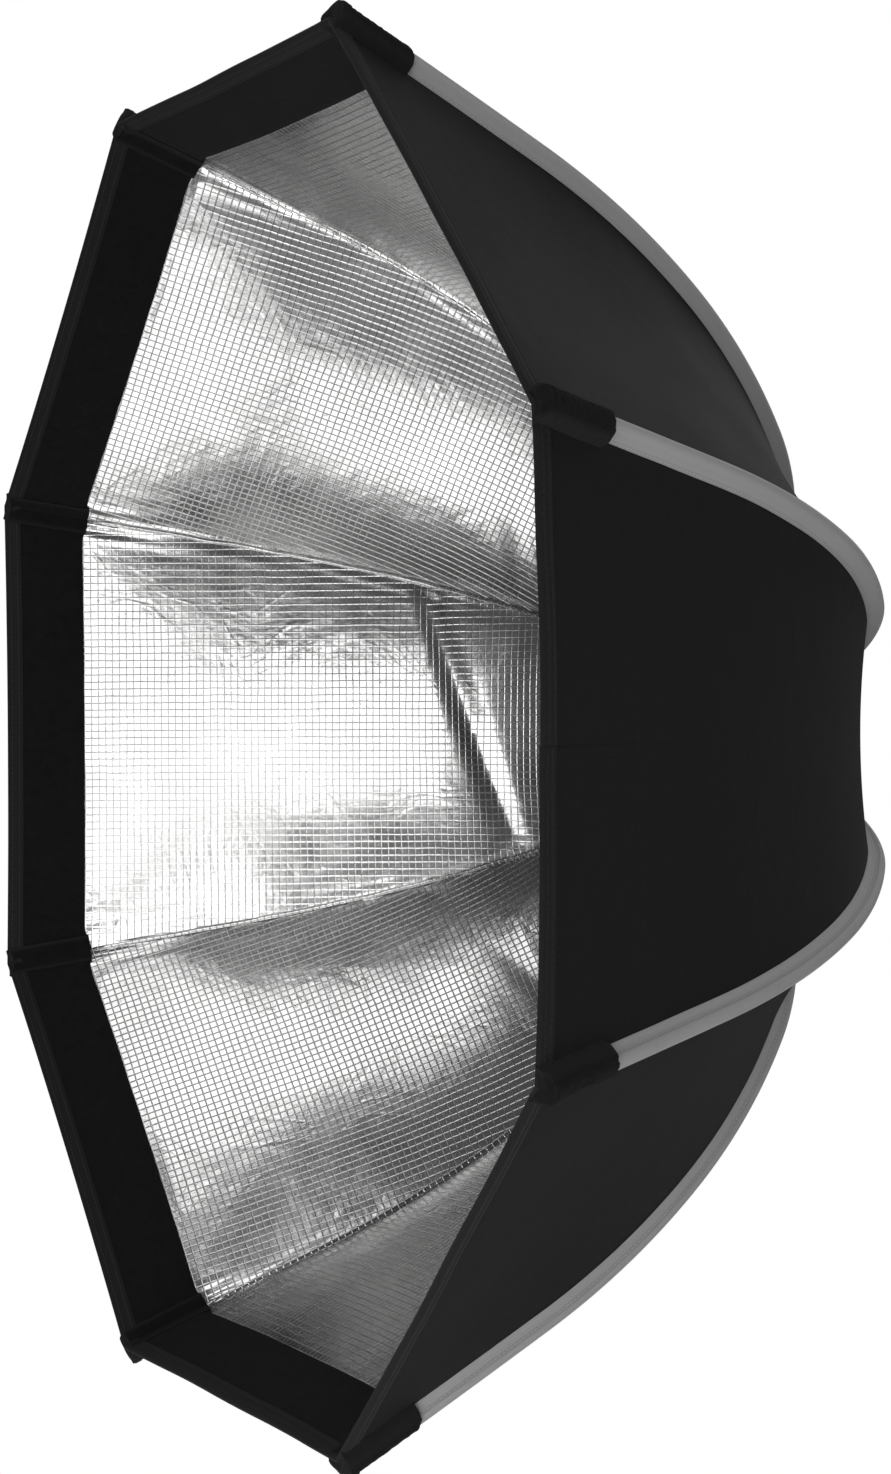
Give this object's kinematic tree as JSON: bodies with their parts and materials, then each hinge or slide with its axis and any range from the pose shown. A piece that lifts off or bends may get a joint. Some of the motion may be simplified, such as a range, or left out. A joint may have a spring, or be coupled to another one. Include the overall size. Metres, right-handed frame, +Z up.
{
  "type": "octagonal softbox",
  "caption": "Deep octagonal softbox with a silver lining: sprung rods hinge on a bayonet hub ring and fold like an umbrella, locked open by a lever.",
  "frame": {"origin": "centre of the seat of the mount ring, where the hub meets the light", "axes": "+Y along the box's axis from the open front to the light; +Z up, with a flat side of the octagon on top; +X to the right as seen looking along +Y into the open front"},
  "size_m": [0.7562, 0.3775, 0.7562],
  "materials": {
    "mount_metal": "satin, turned",
    "hub_plastic": "fine moulded grain",
    "lever_plastic": "matt, ribbed grip",
    "screw_steel": "dark zinc",
    "holder_metal": "black powder coat",
    "rod_steel": "bright drawn steel, plastic cap",
    "sleeve_cloth": "smooth satin webbing",
    "loop_fleece": "brushed loop pile",
    "outer_cloth": "matt plain-weave polyester",
    "lining_cloth": "silver laminate with a fine thread grid",
    "binding_tape": "woven tape with sewn edges"
  },
  "bodies": {
    "hub": {"mount_ring": "mount_metal", "hub_body": "hub_plastic", "front_ring": "hub_plastic", "mount_ring_screws": "screw_steel", "front_ring_screws": "screw_steel", "hinge_pins": "screw_steel"},
    "lock": {"lock_ring": "hub_plastic", "lock_lever": "lever_plastic"},
    "rod_1": {"rod_holder_1": "holder_metal", "rod_1": "rod_steel", "rod_sleeve_1": "sleeve_cloth", "corner_tab_1": "loop_fleece"},
    "rod_2": {"rod_holder_2": "holder_metal", "rod_2": "rod_steel", "rod_sleeve_2": "sleeve_cloth", "corner_tab_2": "loop_fleece"},
    "rod_3": {"rod_holder_3": "holder_metal", "rod_3": "rod_steel", "rod_sleeve_3": "sleeve_cloth", "corner_tab_3": "loop_fleece"},
    "rod_4": {"rod_holder_4": "holder_metal", "rod_4": "rod_steel", "rod_sleeve_4": "sleeve_cloth", "corner_tab_4": "loop_fleece"},
    "rod_5": {"rod_holder_5": "holder_metal", "rod_5": "rod_steel", "rod_sleeve_5": "sleeve_cloth", "corner_tab_5": "loop_fleece"},
    "rod_6": {"rod_holder_6": "holder_metal", "rod_6": "rod_steel", "rod_sleeve_6": "sleeve_cloth", "corner_tab_6": "loop_fleece"},
    "rod_7": {"rod_holder_7": "holder_metal", "rod_7": "rod_steel", "rod_sleeve_7": "sleeve_cloth", "corner_tab_7": "loop_fleece"},
    "rod_8": {"rod_holder_8": "holder_metal", "rod_8": "rod_steel", "rod_sleeve_8": "sleeve_cloth", "corner_tab_8": "loop_fleece"},
    "flap_below_1": {"gore_below_rod_1": "outer_cloth"},
    "flap_above_1": {"gore_above_rod_1": "outer_cloth"},
    "flap_below_2": {"gore_below_rod_2": "outer_cloth"},
    "flap_above_2": {"gore_above_rod_2": "outer_cloth"},
    "flap_below_3": {"gore_below_rod_3": "outer_cloth"},
    "flap_above_3": {"gore_above_rod_3": "outer_cloth"},
    "flap_below_4": {"gore_below_rod_4": "outer_cloth"},
    "flap_above_4": {"gore_above_rod_4": "outer_cloth"},
    "flap_below_5": {"gore_below_rod_5": "outer_cloth"},
    "flap_above_5": {"gore_above_rod_5": "outer_cloth"},
    "flap_below_6": {"gore_below_rod_6": "outer_cloth"},
    "flap_above_6": {"gore_above_rod_6": "outer_cloth"},
    "flap_below_7": {"gore_below_rod_7": "outer_cloth"},
    "flap_above_7": {"gore_above_rod_7": "outer_cloth"},
    "flap_below_8": {"gore_below_rod_8": "outer_cloth"},
    "flap_above_8": {"gore_above_rod_8": "outer_cloth"}
  },
  "joints": [
    {"name": "rod_fold_1", "type": "hinge", "parent": "hub", "child": "rod_1", "pos_m": [0.07299, -0.018, 0.03023], "axis": [0.3827, 0, -0.9239], "range_deg": [0, 42]},
    {"name": "rod_fold_2", "type": "hinge", "parent": "hub", "child": "rod_2", "pos_m": [0.03023, -0.018, 0.07299], "axis": [0.9239, 0, -0.3827], "range_deg": [0, 42]},
    {"name": "rod_fold_3", "type": "hinge", "parent": "hub", "child": "rod_3", "pos_m": [-0.03023, -0.018, 0.07299], "axis": [0.9239, 0, 0.3827], "range_deg": [0, 42]},
    {"name": "rod_fold_4", "type": "hinge", "parent": "hub", "child": "rod_4", "pos_m": [-0.07299, -0.018, 0.03023], "axis": [0.3827, 0, 0.9239], "range_deg": [0, 42]},
    {"name": "rod_fold_5", "type": "hinge", "parent": "hub", "child": "rod_5", "pos_m": [-0.07299, -0.018, -0.03023], "axis": [-0.3827, 0, 0.9239], "range_deg": [0, 42]},
    {"name": "rod_fold_6", "type": "hinge", "parent": "hub", "child": "rod_6", "pos_m": [-0.03023, -0.018, -0.07299], "axis": [-0.9239, 0, 0.3827], "range_deg": [0, 42]},
    {"name": "rod_fold_7", "type": "hinge", "parent": "hub", "child": "rod_7", "pos_m": [0.03023, -0.018, -0.07299], "axis": [-0.9239, 0, -0.3827], "range_deg": [0, 42]},
    {"name": "rod_fold_8", "type": "hinge", "parent": "hub", "child": "rod_8", "pos_m": [0.07299, -0.018, -0.03023], "axis": [-0.3827, 0, -0.9239], "range_deg": [0, 42]},
    {"name": "flap_above_1_fold", "type": "hinge", "parent": "rod_1", "child": "flap_above_1", "pos_m": [0.29579, -0.21033, 0.05374], "axis": [-0.41, 0.8358, -0.365], "range_deg": [0, 64.2], "deforming": ["gore_above_rod_1"]},
    {"name": "flap_below_1_fold", "type": "hinge", "parent": "rod_1", "child": "flap_below_1", "pos_m": [0.24716, -0.21033, 0.17116], "axis": [0.548, -0.8358, 0.0318], "range_deg": [0, 64.2], "deforming": ["gore_below_rod_1"]},
    {"name": "flap_above_2_fold", "type": "hinge", "parent": "rod_2", "child": "flap_above_2", "pos_m": [0.17116, -0.21033, 0.24716], "axis": [-0.0318, 0.8358, -0.548], "range_deg": [0, 64.2], "deforming": ["gore_above_rod_2"]},
    {"name": "flap_below_2_fold", "type": "hinge", "parent": "rod_2", "child": "flap_below_2", "pos_m": [0.05374, -0.21033, 0.29579], "axis": [0.365, -0.8358, 0.41], "range_deg": [0, 64.2], "deforming": ["gore_below_rod_2"]},
    {"name": "flap_above_3_fold", "type": "hinge", "parent": "rod_3", "child": "flap_above_3", "pos_m": [-0.05374, -0.21033, 0.29579], "axis": [0.365, 0.8358, -0.41], "range_deg": [0, 64.2], "deforming": ["gore_above_rod_3"]},
    {"name": "flap_below_3_fold", "type": "hinge", "parent": "rod_3", "child": "flap_below_3", "pos_m": [-0.17116, -0.21033, 0.24716], "axis": [-0.0318, -0.8358, 0.548], "range_deg": [0, 64.2], "deforming": ["gore_below_rod_3"]},
    {"name": "flap_above_4_fold", "type": "hinge", "parent": "rod_4", "child": "flap_above_4", "pos_m": [-0.24716, -0.21033, 0.17116], "axis": [0.548, 0.8358, -0.0318], "range_deg": [0, 64.2], "deforming": ["gore_above_rod_4"]},
    {"name": "flap_below_4_fold", "type": "hinge", "parent": "rod_4", "child": "flap_below_4", "pos_m": [-0.29579, -0.21033, 0.05374], "axis": [-0.41, -0.8358, 0.365], "range_deg": [0, 64.2], "deforming": ["gore_below_rod_4"]},
    {"name": "flap_above_5_fold", "type": "hinge", "parent": "rod_5", "child": "flap_above_5", "pos_m": [-0.29579, -0.21033, -0.05374], "axis": [0.41, 0.8358, 0.365], "range_deg": [0, 64.2], "deforming": ["gore_above_rod_5"]},
    {"name": "flap_below_5_fold", "type": "hinge", "parent": "rod_5", "child": "flap_below_5", "pos_m": [-0.24716, -0.21033, -0.17116], "axis": [-0.548, -0.8358, -0.0318], "range_deg": [0, 64.2], "deforming": ["gore_below_rod_5"]},
    {"name": "flap_above_6_fold", "type": "hinge", "parent": "rod_6", "child": "flap_above_6", "pos_m": [-0.17116, -0.21033, -0.24716], "axis": [0.0318, 0.8358, 0.548], "range_deg": [0, 64.2], "deforming": ["gore_above_rod_6"]},
    {"name": "flap_below_6_fold", "type": "hinge", "parent": "rod_6", "child": "flap_below_6", "pos_m": [-0.05374, -0.21033, -0.29579], "axis": [-0.365, -0.8358, -0.41], "range_deg": [0, 64.2], "deforming": ["gore_below_rod_6"]},
    {"name": "flap_above_7_fold", "type": "hinge", "parent": "rod_7", "child": "flap_above_7", "pos_m": [0.05374, -0.21033, -0.29579], "axis": [-0.365, 0.8358, 0.41], "range_deg": [0, 64.2], "deforming": ["gore_above_rod_7"]},
    {"name": "flap_below_7_fold", "type": "hinge", "parent": "rod_7", "child": "flap_below_7", "pos_m": [0.17116, -0.21033, -0.24716], "axis": [0.0318, -0.8358, -0.548], "range_deg": [0, 64.2], "deforming": ["gore_below_rod_7"]},
    {"name": "flap_above_8_fold", "type": "hinge", "parent": "rod_8", "child": "flap_above_8", "pos_m": [0.24716, -0.21033, -0.17116], "axis": [-0.548, 0.8358, 0.0318], "range_deg": [0, 64.2], "deforming": ["gore_above_rod_8"]},
    {"name": "flap_below_8_fold", "type": "hinge", "parent": "rod_8", "child": "flap_below_8", "pos_m": [0.29579, -0.21033, -0.05374], "axis": [0.41, -0.8358, -0.365], "range_deg": [0, 64.2], "deforming": ["gore_below_rod_8"]},
    {"name": "lock_turn", "type": "hinge", "parent": "hub", "child": "lock", "pos_m": [0, -0.007, 0], "axis": [0, 1, 0], "range_deg": [0, 12]}
  ],
  "couplings": [
    {"joint": "rod_fold_2", "follows": "rod_fold_1", "ratio": 1},
    {"joint": "rod_fold_3", "follows": "rod_fold_1", "ratio": 1},
    {"joint": "rod_fold_4", "follows": "rod_fold_1", "ratio": 1},
    {"joint": "rod_fold_5", "follows": "rod_fold_1", "ratio": 1},
    {"joint": "rod_fold_6", "follows": "rod_fold_1", "ratio": 1},
    {"joint": "rod_fold_7", "follows": "rod_fold_1", "ratio": 1},
    {"joint": "rod_fold_8", "follows": "rod_fold_1", "ratio": 1},
    {"joint": "flap_above_1_fold", "follows": "rod_fold_1", "ratio": 1.526},
    {"joint": "flap_below_1_fold", "follows": "rod_fold_1", "ratio": 1.526},
    {"joint": "flap_above_2_fold", "follows": "rod_fold_1", "ratio": 1.526},
    {"joint": "flap_below_2_fold", "follows": "rod_fold_1", "ratio": 1.526},
    {"joint": "flap_above_3_fold", "follows": "rod_fold_1", "ratio": 1.526},
    {"joint": "flap_below_3_fold", "follows": "rod_fold_1", "ratio": 1.526},
    {"joint": "flap_above_4_fold", "follows": "rod_fold_1", "ratio": 1.526},
    {"joint": "flap_below_4_fold", "follows": "rod_fold_1", "ratio": 1.526},
    {"joint": "flap_above_5_fold", "follows": "rod_fold_1", "ratio": 1.526},
    {"joint": "flap_below_5_fold", "follows": "rod_fold_1", "ratio": 1.526},
    {"joint": "flap_above_6_fold", "follows": "rod_fold_1", "ratio": 1.526},
    {"joint": "flap_below_6_fold", "follows": "rod_fold_1", "ratio": 1.526},
    {"joint": "flap_above_7_fold", "follows": "rod_fold_1", "ratio": 1.526},
    {"joint": "flap_below_7_fold", "follows": "rod_fold_1", "ratio": 1.526},
    {"joint": "flap_above_8_fold", "follows": "rod_fold_1", "ratio": 1.526},
    {"joint": "flap_below_8_fold", "follows": "rod_fold_1", "ratio": 1.526}
  ]
}
